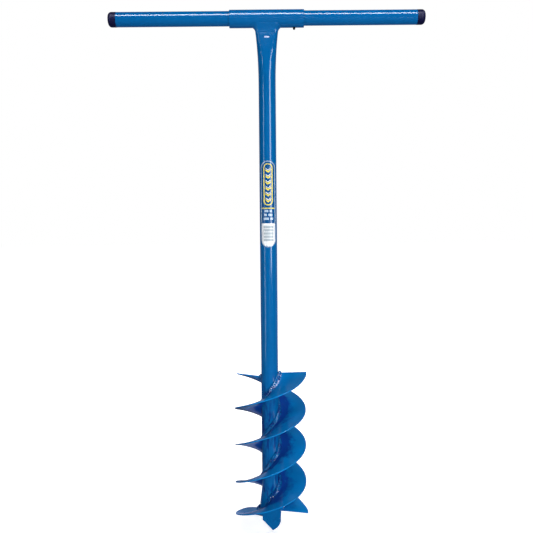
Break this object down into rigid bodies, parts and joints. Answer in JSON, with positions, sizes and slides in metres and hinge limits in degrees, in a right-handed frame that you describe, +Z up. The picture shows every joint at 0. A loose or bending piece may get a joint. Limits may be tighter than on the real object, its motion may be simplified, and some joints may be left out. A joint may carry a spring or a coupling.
{
  "type": "soil auger",
  "caption": "Hand soil auger: tubular stem with a twin helical flight and spear point, topped by a sleeve that carries a sliding tee handle held by a set screw.",
  "frame": {"origin": "on the stem axis at the level of the digging point's tip", "axes": "+Z up the stem, +X along the tee handle toward its right end, the label faces -Y"},
  "size_m": [0.645, 0.1464, 1.07],
  "materials": {
    "stem_paint": "semi-gloss blue powder coat",
    "sleeve_paint": "semi-gloss blue powder coat",
    "flight_paint": "semi-gloss blue powder coat",
    "weld_paint": "powder coat over rippled weld",
    "bar_paint": "semi-gloss blue powder coat",
    "cap_plastic": "satin black",
    "screw_steel": "black oxide",
    "label_print": "printed film"
  },
  "bodies": {
    "auger": {"stem_tube": "stem_paint", "tee_sleeve": "sleeve_paint", "tee_weld": "weld_paint", "flight_a_lower": "flight_paint", "flight_a_upper": "flight_paint", "flight_b_lower": "flight_paint", "flight_b_upper": "flight_paint", "butt_weld_a": "weld_paint", "butt_weld_b": "weld_paint", "root_weld_a_lower": "weld_paint", "root_weld_a_upper": "weld_paint", "root_weld_b_lower": "weld_paint", "root_weld_b_upper": "weld_paint", "toe_weld_a": "weld_paint", "toe_weld_b": "weld_paint", "crown_weld_a": "weld_paint", "crown_weld_b": "weld_paint", "label": "label_print"},
    "handle": {"handle_bar": "bar_paint", "end_cap_left": "cap_plastic", "end_cap_right": "cap_plastic"},
    "set_screw": {"set_screw": "screw_steel"}
  },
  "joints": [
    {"name": "handle_slide", "type": "slide", "parent": "auger", "child": "handle", "axis": [1, 0, 0], "range_m": [-0.395, 0.395]},
    {"name": "set_screw_out", "type": "slide", "parent": "auger", "child": "set_screw", "axis": [0, 0, -1], "range_m": [0, 0.003]}
  ]
}
